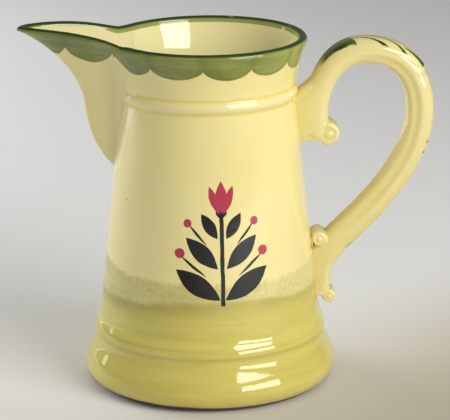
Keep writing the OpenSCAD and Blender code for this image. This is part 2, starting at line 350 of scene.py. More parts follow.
def skin_row(side, inside, turns, share=1.0, lift=0.0, count=ROW_POINTS):
    """Half a row: along the wall of the body, then out to the nose by a share of the way."""
    _, y, height = side[0]
    radius = wall_inside(height) if inside else wall_outside(height) + SKIN_CLEAR
    corner_turn = math.asin(min(STEEPEST, y / radius))
    lap_turn = corner_turn + LAP / radius
    line = []
    for i in range(LAP_STEPS + 1):
        a = mix(lap_turn, corner_turn, i / LAP_STEPS)
        line.append((-radius * math.cos(a), radius * math.sin(a), height))
    corner = line[-1][:2]
    for x, y, z in side:
        here = math.hypot(x, y)
        least = wall_inside(z) if inside else wall_outside(z) + SKIN_CLEAR
        if here < least:
            if inside:
                continue
            x, y = x * least / here, y * least / here
        line.append((x, y, z))
    turns = int(turns * (count / ROW_POINTS) ** 2)
    line = softened(spaced(line, count), corner, CORNER_REACH, turns)
    if inside and not lift:
        tuck = 0.1 * np.exp(-np.arange(count + 1) / 2.0)[:, None]
        line[:, :2] *= 1 + tuck / radius
    if share < 1:
        a = np.linspace(lap_turn, 0, count + 1)
        level = np.full(count + 1, height)
        plain = np.stack([-radius * np.cos(a), radius * np.sin(a), level], axis=1)
        line = plain + (line - plain) * share
    if lift:
        along = np.gradient(line[:, :2], axis=0)
        along /= np.linalg.norm(along, axis=1, keepdims=True)
        line[:, 0] += lift * along[:, 1]
        line[:, 1] -= lift * along[:, 0]
        line[-1] = (line[-2][0] - 0.2, 0.0, line[-1][2])
        line[:-1, 1] = np.maximum(line[:-1, 1], 0.02)
    return [tuple(p) for p in line]


def outer_level(v):
    drop = SPOUT_WALL / 2 * v**6
    nose = keel(v)
    z = mix(CHIN_HEIGHT, RIM_HEIGHT, v) - drop
    cove_width = 3.0 * ease(v / 0.08) + 1.4 * ease(v / 0.4) * (1 - ease((v - 0.6) / 0.4))
    return level_side((nose[0], nose[1] - drop), level_width(v), z, cove_width)


def channel_level(v):
    drop = SPOUT_WALL / 2 * v**6
    nose = keel(v)
    back = SPOUT_WALL * mix(1.05, 1.5, ease(v))
    lift = 2.5 * (1 - ease(v))
    width = level_width(v) - SPOUT_WALL - 1.6 * ease((1 - v) / 0.13) * ease((v - 0.4) / 0.3)
    z = mix(CHIN_HEIGHT, RIM_HEIGHT, v) - drop
    return level_side((nose[0] + back, nose[1] + lift - drop), width, z, 2.5 * ease(v / 0.8))


def channel_row(v, lift=0.0, count=ROW_POINTS):
    """The channel grows out of the wall above its start."""
    opened = ease((v - CHANNEL_START) / 0.16)
    return skin_row(channel_level(v), True, CHANNEL_SOFTENING, opened, lift, count)


def lip_level(share):
    a = math.pi * share
    inset, up = SPOUT_WALL / 2 * (1 - math.cos(a)), SPOUT_WALL / 2 * (math.sin(a) - 1)
    nose = (TIP[0] + inset * mix(1, 1.5, share), TIP[1] + up)
    return level_side(nose, level_width(1) - inset, RIM_HEIGHT + up, mix(3.0, 2.5, share))


def crest_height(x):
    share = min(1.0, max(0.0, (LEAVE_X - x) / (LEAVE_X - TIP[0])))
    return mix(RIM_HEIGHT, TIP[1], 1 - (1 - share) ** CREST_SWEEP)


def sunk(row, inside, depth):
    """A row pressed into the thickness of the wall."""
    result = []
    for x, y, z in row:
        here = math.hypot(x, y)
        wanted = wall_inside(z) + depth if inside else wall_outside(z) - depth
        result.append((x * wanted / here, y * wanted / here, z))
    return result


def spout_rows():
    """Rows up the outside, over the lip and down the channel.

    Each point also gets its drop below the crest and its way along the lap.
    """
    halves = []
    for i in range(SKIN_LEVELS + 1):
        v = i / SKIN_LEVELS
        softening = int(mix(6, LIP_SOFTENING, v**3))
        halves.append((skin_row(outer_level(v), False, softening), False))
    for i in range(1, LIP_LEVELS):
        inside = i > LIP_LEVELS / 2
        halves.append((skin_row(lip_level(i / LIP_LEVELS), inside, LIP_SOFTENING), inside))
    for i in range(SKIN_LEVELS + 1):
        v = mix(1, CHANNEL_START, i / SKIN_LEVELS)
        halves.append((channel_row(v), True))
    halves.insert(0, (sunk(halves[0][0], False, SINK), False))
    halves.append((sunk(halves[-1][0], True, SINK), True))
    ends = [Vector(sunk(row[:1], inside, SINK)[0]) for row, inside in halves]
    rows, drops, laps = [], [], []
    for (row, inside), end, facing_end in zip(halves, ends, reversed(ends)):
        middle = (end + facing_end) / 2
        whole = mirrored([tuple(middle), tuple(end)] + row)
        lowest = halves[-1][0][-1][2] if inside else CHIN_HEIGHT
        lengths = np.linalg.norm(np.diff(np.array(row), axis=0), axis=1)
        run = np.concatenate([[0, 0, 0], np.cumsum(lengths)])
        lap = [min(along, abs(p[2] - lowest)) for along, p in zip(run, whole)]
        rows.append(whole)
        drops.append([(-1 if inside else 1) * (crest_height(x) - z) for x, _, z in whole])
        laps.append(lap + lap[-2::-1])
    return rows + rows[:1], {"drop": drops + drops[:1], "lap": laps + laps[:1]}


def notch_rows():
    """The room that the spout takes out of the wall of the body."""
    rows = []
    for i in range(NOTCH_LEVELS + 1):
        v = mix(CHANNEL_START, 1, i / NOTCH_LEVELS)
        row = channel_row(v, 1.3, ROW_POINTS // 2)[1:]
        first = row[0]
        near_axis = (first[0] * 0.7, first[1] * 0.7, first[2])
        whole = mirrored([near_axis] + row)
        rows.append(whole + whole[:1])
    rows.append([(x, y, z + 12) for x, y, z in rows[-1]])
    return rows


# modelling


def clear_selection():
    if bpy.context.object and bpy.context.object.mode != "OBJECT":
        bpy.ops.object.mode_set(mode="OBJECT")
    bpy.ops.object.select_all(action="DESELECT")


def named(name):
    piece = bpy.context.active_object
    piece.name = name
    piece.data.name = name
    return piece


def alone(piece):
    clear_selection()
    piece.select_set(True)
    bpy.context.view_layer.objects.active = piece


def edit_all():
    """Edit mode with everything picked."""
    bpy.ops.object.mode_set(mode="EDIT")
    bpy.ops.mesh.select_all(action="SELECT")


def done_editing():
    bpy.ops.object.mode_set(mode="OBJECT")


def pick_none(kind):
    """Leaves nothing picked, with picking set to vertices, edges or faces."""
    bpy.ops.object.mode_set(mode="EDIT")
    bpy.ops.mesh.select_mode(type=kind)
    bpy.ops.mesh.select_all(action="DESELECT")
    bpy.ops.object.mode_set(mode="OBJECT")


def apply_modifier(piece, kind, **settings):
    alone(piece)
    modifier = piece.modifiers.new(kind.lower(), kind)
    for key, value in settings.items():
        setattr(modifier, key, value)
    bpy.ops.object.modifier_apply(modifier=modifier.name)


def turned(name, section, steps):
    """A section drawn point to point beside the axis and turned once round it."""
    clear_selection()
    bpy.ops.mesh.primitive_plane_add(size=MM)
    piece = named(name)
    edit_all()
    bpy.ops.mesh.merge(type="CENTER")
    places = [Vector((radius, 0, height)) * MM for radius, height in section]
    bpy.ops.transform.translate(value=places[0])
    for here, there in zip(places, places[1:]):
        bpy.ops.mesh.extrude_vertices_move(TRANSFORM_OT_translate={"value": there - here})
    bpy.ops.mesh.select_all(action="SELECT")
    bpy.ops.mesh.spin(steps=steps, angle=math.tau, center=(0, 0, 0), axis=(0, 0, 1))
    bpy.ops.mesh.select_all(action="SELECT")
    bpy.ops.mesh.remove_doubles(threshold=0.01 * MM)
    bpy.ops.mesh.normals_make_consistent(inside=False)
    done_editing()
    return piece


def laid_sheet(name, rows, marks=None):
    """A flat grid laid over rows of points.

    Edges that fall together are joined, and open ends are closed.
    """
    clear_selection()
    across, along = len(rows[0]), len(rows)
    bpy.ops.mesh.primitive_grid_add(x_subdivisions=across - 1, y_subdivisions=along - 1, size=MM)
    piece = named(name)
    places = [Vector(p) * MM for row in rows for p in row]
    for vertex, place in zip(piece.data.vertices, places):
        vertex.co = place
    for key, values in (marks or {}).items():
        mark = piece.data.attributes.new(key, "FLOAT", "POINT")
        mark.data.foreach_set("value", [m for row in values for m in row])
    edit_all()
    bpy.ops.mesh.remove_doubles(threshold=0.02 * MM)
    bpy.ops.mesh.select_all(action="DESELECT")
    bpy.ops.mesh.select_mode(type="EDGE")
    bpy.ops.mesh.select_non_manifold(
        extend=False,
        use_wire=False,
        use_boundary=True,
        use_multi_face=False,
        use_non_contiguous=False,
        use_verts=False,
    )
    bpy.ops.mesh.fill_holes(sides=0)
    bpy.ops.mesh.select_mode(type="VERT")
    bpy.ops.mesh.select_all(action="SELECT")
    bpy.ops.mesh.normals_make_consistent(inside=False)
    done_editing()
    return piece


def smooth_faces(piece, angle):
    alone(piece)
    bpy.ops.object.shade_smooth_by_angle(angle=math.radians(angle))


def mark_pooling(piece, passes):
    """Stores how hollow each place is, from -1 on ridges to 1 in grooves, where glaze gathers."""
    mesh = piece.data
    count = len(mesh.vertices)
    place = np.empty(count * 3)
    facing = np.empty(count * 3)
    mesh.vertices.foreach_get("co", place)
    mesh.vertices.foreach_get("normal", facing)
    place, facing = place.reshape(-1, 3), facing.reshape(-1, 3)
    ends = np.empty(len(mesh.edges) * 2, np.int64)
    mesh.edges.foreach_get("vertices", ends)
    a, b = ends.reshape(-1, 2).T
    links = np.bincount(a, minlength=count) + np.bincount(b, minlength=count)
    links = np.maximum(links, 1)[:, None]

    def spread(values):
        total = np.zeros_like(values)
        np.add.at(total, a, values[b])
        np.add.at(total, b, values[a])
        return 0.5 * values + 0.5 * total / links

    level = place
    for _ in range(passes):
        level = spread(level)
    depth = ((level - place) * facing).sum(1, keepdims=True) / MM
    for _ in range(3):
        depth = spread(depth)
    share = np.clip(depth[:, 0] / np.percentile(np.abs(depth), 97), -1, 1)
    if "lap" in mesh.attributes:
        lap = np.empty(count, np.float32)
        mesh.attributes["lap"].data.foreach_get("value", lap)
        share *= np.clip((lap - 1) / 3, 0, 1)
    pool = mesh.attributes.new("pooling", "FLOAT", "POINT")
    pool.data.foreach_set("value", share.astype(np.float32))


# body


BODY_STEPS = 56
swelled = 3 / (2 + math.cos(math.tau / BODY_STEPS))
body = turned("thrown_body", [(r * swelled, z) for r, z in body_section], BODY_STEPS)
apply_modifier(body, "SUBSURF", levels=2, render_levels=2)
notch = laid_sheet("spout_notch", notch_rows())
apply_modifier(body, "BOOLEAN", operation="DIFFERENCE", solver="EXACT", object=notch)
bpy.data.objects.remove(notch)
smooth_faces(body, 50)


# spout


spout = laid_sheet("pulled_spout", *spout_rows())
smooth_faces(spout, 60)


# handle


# steps of a button: inset as a share of the drum's radius, width as a share of the drum's
BUTTON_STEPS = (
    (0.26, 1.03), (0.16, 1.02), (0.1, 0.99), (0.06, 0.985), (0.06, 1.0), (0.12, 1.06), (0.12, 1.09)
)


def rolled_end(name, at, radius, half_width):
    """A drum across the loop with a sunk ring and a round button on each side."""
    clear_selection()
    middle = Vector((at[0], 0, at[1])) * MM
    bpy.ops.mesh.primitive_cylinder_add(
        vertices=48,
        radius=radius * MM,
        depth=2 * half_width * MM,
        location=middle,
        rotation=(math.pi / 2, 0, 0),
    )
    drum = named(name)
    bpy.ops.object.transform_apply(location=True, rotation=True, scale=True)
    pick_none("FACE")
    for face in drum.data.polygons:
        face.select = abs(face.normal.y) > 0.9
    bpy.ops.object.mode_set(mode="EDIT")
    now = 1.0
    for inset, width in BUTTON_STEPS:
        bpy.ops.mesh.inset(thickness=inset * radius * MM, use_individual=True)
        bpy.ops.transform.resize(value=(1, width / now, 1), center_override=middle)
        now = width
    bpy.ops.mesh.select_mode(type="VERT")
    done_editing()
    apply_modifier(drum, "SUBSURF", levels=2, render_levels=2)
    return drum


RING_POINTS = 72
LEAF_RINGS = 110
LOWER_RINGS = 120
near = [LEAF_END * i / LEAF_RINGS for i in range(LEAF_RINGS + 1)]
beyond = [
    mix(LEAF_END + LEAF_STEP, len(strap_path), i / LOWER_RINGS) for i in range(LOWER_RINGS + 1)
]
stations = near + [LEAF_END + LEAF_STEP / 2] + beyond
handle = laid_sheet("fluted_handle", [strap_ring(p, RING_POINTS) for p in stations])
ends = [
    rolled_end("upper_curl", (60.8, 128.7), 6.3, 8.3),
    rolled_end("lower_curl", (56.3, 73.2), 4.2, 8.3),
    rolled_end("tail_curl", (61.4, 42.1), 3.9, 7.6),
]
alone(handle)
for drum in ends:
    drum.select_set(True)
bpy.ops.object.join()
apply_modifier(handle, "REMESH", mode="VOXEL", voxel_size=0.5 * MM, use_smooth_shade=True)
apply_modifier(handle, "SMOOTH", factor=0.5, iterations=8)
for vertex in handle.data.vertices:
    x, y, z = vertex.co / MM
    if z > WAIST[1] - 6:
        vertex.co = Vector(stay_in_wall((x, y, z))) * MM


# slip


def pressed(value, low, high, give):
    """Brings a value between two limits, keeping a share of what lies past them."""
    if value < low:
        return low - (low - value) * give
    return high + (value - high) * give if value > high else value


SLIP_TOP = RIM_HEIGHT - 3.0
UPPER_ROOT_TOP = 146.0


def tucked_slip(x, y, z):
    """Slip of the spout, wiped back into the joint along both flanks."""
    z = pressed(z, 0.0, SLIP_TOP, 0.2)
    v = (z - CHIN_HEIGHT) / (RIM_HEIGHT - CHIN_HEIGHT)
    radius = pressed(math.hypot(x, y) - 1.6, wall_inside(z) + 1.5, wall_outside(z) - 0.6, 0.3)
    half_width = outer_level(min(1.0, max(0.0, v)))[0][1]
    corner = math.asin(min(STEEPEST, half_width / radius)) - 0.5 / radius
    turn = pressed(math.atan2(abs(y), -x), corner * ease((v - 0.27) / 0.1), math.pi, 0.32)
    return (-radius * math.cos(turn), math.copysign(radius * math.sin(turn), y), z)


def drop_crumbs(piece):
    """Keeps what hangs together with the lowest point, and deletes loose specks."""
    lowest = min(piece.data.vertices, key=lambda vertex: vertex.co.z).index
    pick_none("VERT")
    piece.data.vertices[lowest].select = True
    bpy.ops.object.mode_set(mode="EDIT")
    bpy.ops.mesh.select_linked()
    bpy.ops.mesh.select_all(action="INVERT")
    bpy.ops.mesh.delete(type="VERT")
    done_editing()


def slip_bead(name):
    """The slip squeezed out of a joint, wiped to a soft bead."""
    clear_selection()
    source = frame["nodes"][name]
    bead_piece = source.copy()
    bead_piece.data = source.data.copy()
    for key in list(bead_piece.keys()):
        del bead_piece[key]
    bead_piece.parent = None
    bpy.context.scene.collection.objects.link(bead_piece)
    alone(bead_piece)
    named(name + "_bead")
    edit_all()
    bpy.ops.mesh.remove_doubles(threshold=0.005 * MM)
    done_editing()
    apply_modifier(bead_piece, "REMESH", mode="VOXEL", voxel_size=0.3 * MM, use_smooth_shade=True)
    drop_crumbs(bead_piece)
    apply_modifier(bead_piece, "SMOOTH", factor=0.5, iterations=3)
    for vertex in bead_piece.data.vertices:
        x, y, z = stay_in_wall(vertex.co / MM)
        z -= 0.6 * max(0.0, z - UPPER_ROOT_TOP) if x > 0 else 0.0
        vertex.co = Vector(tucked_slip(x, y, z) if x < 0 else stay_in_wall((x, y, z))) * MM
    return bead_piece


slips = {n: slip_bead(n) for n in ("spout_slip", "upper_handle_slip", "lower_handle_slip")}

for piece, passes in ((body, 6), (spout, 6), (handle, 12)):
    mark_pooling(piece, passes)


# glaze and paint


GLAZE_IOR = 1.57
GLAZE_BUMP = 0.12
GLAZE_BUMP_DEPTH = 0.0006


class Field:
    """A value that varies over a surface, worked out by Math nodes."""

    def __init__(self, paint, socket):
        self.paint = paint
        self.socket = socket

    def __add__(self, other):
        return self.paint.math("ADD", self, other)

    __radd__ = __add__

    def __mul__(self, other):
        return self.paint.math("MULTIPLY", self, other)

    __rmul__ = __mul__

    def __sub__(self, other):
        return self.paint.math("SUBTRACT", self, other)

    def __rsub__(self, other):
        return self.paint.math("SUBTRACT", other, self)

    def __truediv__(self, other):
        return self.paint.math("DIVIDE", self, other)

    def __pow__(self, other):
        return self.paint.math("POWER", self, other)

    def __abs__(self):
        return self.paint.math("ABSOLUTE", self)


class Paint:
    """One finish: a Principled shader and the nodes that lead to it."""

    def __init__(self, name):
        self.material = bpy.data.materials.new(name)
        self.material.use_nodes = True
        self.tree = self.material.node_tree
        self.shader = self.tree.nodes["Principled BSDF"]
        place = self.tree.nodes.new("ShaderNodeTexCoord")
        self.place = place.outputs["Object"]
        split = self.tree.nodes.new("ShaderNodeSeparateXYZ")
        self.tree.links.new(self.place, split.inputs[0])
        self.x, self.y, self.z = (Field(self, split.outputs[i]) * (1 / MM) for i in range(3))

    def feed(self, value, socket):
        if isinstance(value, Field):
            self.tree.links.new(value.socket, socket)
        elif hasattr(value, "is_output"):
            self.tree.links.new(value, socket)
        else:
            socket.default_value = value

    def math(self, operation, *values):
        node = self.tree.nodes.new("ShaderNodeMath")
        node.operation = operation
        for value, socket in zip(values, node.inputs):
            self.feed(value, socket)
        return Field(self, node.outputs[0])

    def most(self, *fields):
        result = fields[0]
        for other in fields[1:]:
            result = self.math("MAXIMUM", result, other)
        return result

    def turn(self, up, across):
        """The angle of a direction, in degrees."""
        return self.math("ARCTAN2", up, across) * (180 / math.pi)

    def reach(self, across, up):
        """The distance from the middle."""
        return self.math("SQRT", across * across + up * up)

    def step(self, value, low, high):
        """0 below low, 1 above high, eased between them; low may lie above high."""
        node = self.tree.nodes.new("ShaderNodeMapRange")
        node.interpolation_type = "SMOOTHSTEP"
        flipped = low > high
        node.inputs["From Min"].default_value = min(low, high)
        node.inputs["From Max"].default_value = max(low, high)
        self.feed(value, node.inputs["Value"])
        result = Field(self, node.outputs["Result"])
        return 1.0 - result if flipped else result

    def noise(self, scale, stretch=(1, 1, 1), detail=3.0, rough=0.5, shift=(0, 0, 0)):
        """Noise from 0 to 1; scale is in spots per metre, finer along a stretched axis."""
        moved = self.tree.nodes.new("ShaderNodeMapping")
        moved.inputs["Scale"].default_value = stretch
        moved.inputs["Location"].default_value = shift
        self.tree.links.new(self.place, moved.inputs["Vector"])
        node = self.tree.nodes.new("ShaderNodeTexNoise")
        node.inputs["Scale"].default_value = scale
        node.inputs["Detail"].default_value = detail
        node.inputs["Roughness"].default_value = rough
        self.tree.links.new(moved.outputs[0], node.inputs["Vector"])
        return Field(self, node.outputs["Fac"])

    def specks(self, scale, size):
        """A few round pinholes, 1 inside each."""
        node = self.tree.nodes.new("ShaderNodeTexVoronoi")
        node.inputs["Scale"].default_value = scale
        self.tree.links.new(self.place, node.inputs["Vector"])
        split = self.tree.nodes.new("ShaderNodeSeparateColor")
        self.tree.links.new(node.outputs["Color"], split.inputs[0])
        chosen = self.step(Field(self, split.outputs[0]), 0.93, 0.95)
        return chosen * self.step(Field(self, node.outputs["Distance"]), size, size * 0.6)

    def mark(self, name):
        node = self.tree.nodes.new("ShaderNodeAttribute")
        node.attribute_name = name
        return Field(self, node.outputs["Fac"])

    def blend(self, share, under, over):
        node = self.tree.nodes.new("ShaderNodeMix")
        node.data_type = "RGBA"
        self.feed(share, node.inputs["Factor"])
        self.feed(under, node.inputs["A"])
        self.feed(over, node.inputs["B"])
        return node.outputs["Result"]

    def finish(self, colour, roughness, relief, strength=GLAZE_BUMP, distance=GLAZE_BUMP_DEPTH):
        self.feed(colour, self.shader.inputs["Base Color"])
        self.feed(roughness, self.shader.inputs["Roughness"])
        bump = self.tree.nodes.new("ShaderNodeBump")
        bump.inputs["Strength"].default_value = strength
        bump.inputs["Distance"].default_value = distance
        self.feed(relief, bump.inputs["Height"])
        self.tree.links.new(bump.outputs["Normal"], self.shader.inputs["Normal"])
        self.shader.inputs["IOR"].default_value = GLAZE_IOR
        return self.material


def colour(red, green, blue):
    """A colour as seen on screen, 0 to 255, for a shader socket."""
    parts = [c / 255 for c in (red, green, blue)]
    linear = [c / 12.92 if c <= 0.04045 else ((c + 0.055) / 1.055) ** 2.4 for c in parts]
    return (*linear, 1.0)


YELLOW = colour(246, 232, 157)
# HANDLE_YELLOW is the body's glaze made darker, painted shade that tones down the handle
HANDLE_YELLOW = colour(236, 222, 151)
DEEP_YELLOW = colour(240, 218, 112)
CREAM = colour(249, 239, 190)
# PALE_INSIDE is painted paler than the glaze outside, so the hollow renders brighter: painted light
PALE_INSIDE = colour(255, 247, 187)
LEAF_GREEN = colour(126, 136, 62)
PALE_GREEN = colour(168, 175, 96)
SHADED_GREEN = colour(100, 112, 52)
DARK_GREEN = colour(44, 68, 22)
OLIVE = colour(206, 193, 94)
PALE_OLIVE = colour(224, 210, 114)
GROUND_GREEN = colour(128, 120, 46)
SPONGE_GREEN = colour(190, 182, 104)
BLACK = colour(12, 12, 13)
CRIMSON = colour(188, 58, 84)
# brown of bare clay, for the unglazed foot and pinholes, and for the painted shadow line at the
# foot
CLAY_AND_SHADOW_BROWN = colour(104, 70, 52)
FIRED_SLIP = colour(243, 228, 150)
PAPER = colour(246, 246, 245)
PALE_PAPER = colour(249, 249, 248)
# paper tones for the painted shade and the warm painted shadow on the table
PAPER_IN_SHADE = colour(206, 206, 203)
PAPER_IN_WARM_SHADOW = colour(196, 185, 156)


def glaze_ground(paint, gathered=1.0, ground=YELLOW):
    """Yellow glaze, deeper where it gathers and paler where it runs thin."""
    pool = paint.mark("pooling")
    cloud = paint.noise(28, detail=2)
    base = paint.blend(paint.step(pool, 0.12, 0.8) * gathered, ground, DEEP_YELLOW)
    base = paint.blend(paint.step(pool, -0.15, -0.9) * 0.6, base, CREAM)
    return paint.blend(paint.step(cloud, 0.45, 0.75) * 0.15, base, DEEP_YELLOW)


def brush_green(paint):
    """Green laid on in overlapping strokes along the rim, made paler towards the right as painted
    light.
    """
    streak = paint.noise(34, stretch=(1, 1, 16), detail=5, rough=0.62)
    load = paint.noise(46, detail=2, shift=(3, 1, 0))
    green = paint.blend(paint.step(streak, 0.36, 0.7) * 0.6, LEAF_GREEN, PALE_GREEN)
    green = paint.blend(paint.step(load, 0.5, 0.7) * 0.55, green, SHADED_GREEN)
    # painted light: paler green towards the right side, which faces the key light
    return paint.blend(paint.step(paint.x, 10, 45) * 0.7, green, PALE_GREEN)


def hand_wobble(paint):
    """Unsteadiness of a brushed edge, from -0.5 to 0.5."""
    return paint.noise(70, detail=2, shift=(1, 2, 3)) - 0.5


def scallop(paint, lobe):
    """A rounded lobe, 1 in its middle and 0 at its cusps; lobe runs from -1 to 1."""
    return paint.most(1.0 - lobe * lobe, 0.0) ** 0.66


# where two strokes of the rim meet, in degrees round the axis
RIM_CUSPS = (
    -180, -156, -128.4, -95.6, -66.7, -38.3, -9.5, 19.5, 48.5, 77, 106.5, 130, 156, 180
)


def rim_lobe(paint, turn):
    """From -1 at one cusp of the rim to 1 at the next."""
    lobes = len(RIM_CUSPS) - 1
    curve = paint.tree.nodes.new("ShaderNodeFloatCurve")
    points = curve.mapping.curves[0].points
    points[1].location = (1, 1)
    for k, cusp in enumerate(RIM_CUSPS[:-1]):
        share = ((cusp + 180) / 360, k / lobes)
        point = points[0] if k == 0 else points.new(*share)
        point.location = share
    for point in points:
        point.handle_type = "VECTOR"
    curve.mapping.update()
    paint.feed((turn + 180.0) / 360.0, curve.inputs["Value"])
    return paint.math("FRACT", Field(paint, curve.outputs[0]) * float(lobes)) * 2.0 - 1.0


def scalloped_rim(paint, drop):
    """Green rim with a scalloped lower edge; drop is the depth below the crest, negative inside."""
    turn = paint.turn(paint.y, paint.x)
    wobble = hand_wobble(paint)
    body_lobe = rim_lobe(paint, turn)
    body_edge = 8.4 + 4.9 * scallop(paint, body_lobe) - 2.4 * paint.step(abs(turn), 148, 155)
    cusp_depth = 5.3 + 3.4 * paint.step(paint.x, -54, -70)
    tip_edge = 8.7 + 4.4 * paint.step(paint.x, -70.8, -75)
    spout_lobe = scallop(paint, (paint.x + 59.6) / 11.4)
    spout_edge = cusp_depth + (14.2 - cusp_depth) * spout_lobe
    spout_edge = paint.most(spout_edge, tip_edge * paint.step(paint.x, -70.4, -71.2))
    on_spout = paint.step(paint.x, -47.4, -48.2)
    edge = body_edge + (spout_edge - body_edge) * on_spout + 1.3 * wobble
    inner_width = 3.0 - 1.3 * paint.step(paint.x, -45, -54)
    band = paint.step(drop + inner_width, -0.3, 0.3) * paint.step(drop - edge, 0.22, -0.22)
    green = brush_green(paint)
    brim = paint.step(drop - edge, -2.6, 0.0) * 0.35
    overlap = paint.step(abs(body_lobe), 0.7, 0.96) * (1.0 - on_spout) * 0.32
    spout_overlap = paint.step(paint.x, -68.5, -70.5) * paint.step(paint.x, -75, -73) * 0.5
    overlap = paint.most(overlap, spout_overlap)
    green = paint.blend(paint.most(brim, overlap), green, SHADED_GREEN)
    green = paint.blend(paint.step(drop, 0, -2) * 0.8, green, PALE_GREEN)
    return band, green


def glaze_relief(paint):
    """Orange peel of the glaze on a slower unevenness."""
    return paint.noise(420, detail=2) * 0.35 + paint.noise(90, detail=1) * 0.65


def rim_relief(paint, band):
    """The glaze relief, with the brush marks of the rim on it."""
    return glaze_relief(paint) + 0.5 * band * paint.noise(80, stretch=(1, 1, 8), detail=3)


def glaze_gloss(paint):
    return 0.03 + 0.05 * paint.noise(60, detail=3)


def worn_crest(paint):
    """Where use has rubbed the lip thin."""
    return paint.step(paint.noise(120, detail=3, shift=(0, 5, 2)), 0.62, 0.74)


def sprig(paint, around, up):
    """A leafy sprig: black leaves and stalks, crimson bud and berries; sizes in millimetres."""
    side = abs(around)

    def leaf(x, z, long, wide, lean):
        c, s = math.cos(math.radians(lean)), math.sin(math.radians(lean))
        dx, dz = side - x, up - z
        along = dx * c + dz * s
        across = dz * c - dx * s
        return paint.step(wide * (1.0 - (along / long) ** 2.0) - abs(across), -0.12, 0.12)

    def berry(x, z, radius):
        return paint.step(paint.reach(side - x, up - z), radius + 0.12, radius - 0.12)

    stalk = paint.step(side, 1.15, 0.9) * paint.step(up, 53.5, 54.5) * paint.step(up, 101, 99)
    black = paint.most(
        stalk,
        leaf(11.8, 64.5, 13.0, 4.8, 36),
        leaf(9.8, 80.5, 11.0, 4.1, 46),
        leaf(6.0, 94.0, 7.4, 2.9, 58),
        leaf(14.0, 74.0, 8.5, 0.7, 40),
        leaf(12.0, 90.0, 7.5, 0.65, 50),
        leaf(0.0, 101.0, 3.4, 2.8, 90),
    )
    red = paint.most(
        leaf(0.0, 108.5, 8.0, 2.9, 90),
        leaf(3.6, 107.0, 7.4, 2.1, 70),
        berry(20.6, 80.3, 2.5),
        berry(16.9, 95.6, 2.1),
    )
    return black, red


# height and half width of the deeper glaze in the grooves, and where the sprig is painted
GROOVE_SHADES = ((148.5, 1.0), (155.6, 1.2))
SPRIG_TURN = -86.0
SPRIG_RADIUS = 50.0


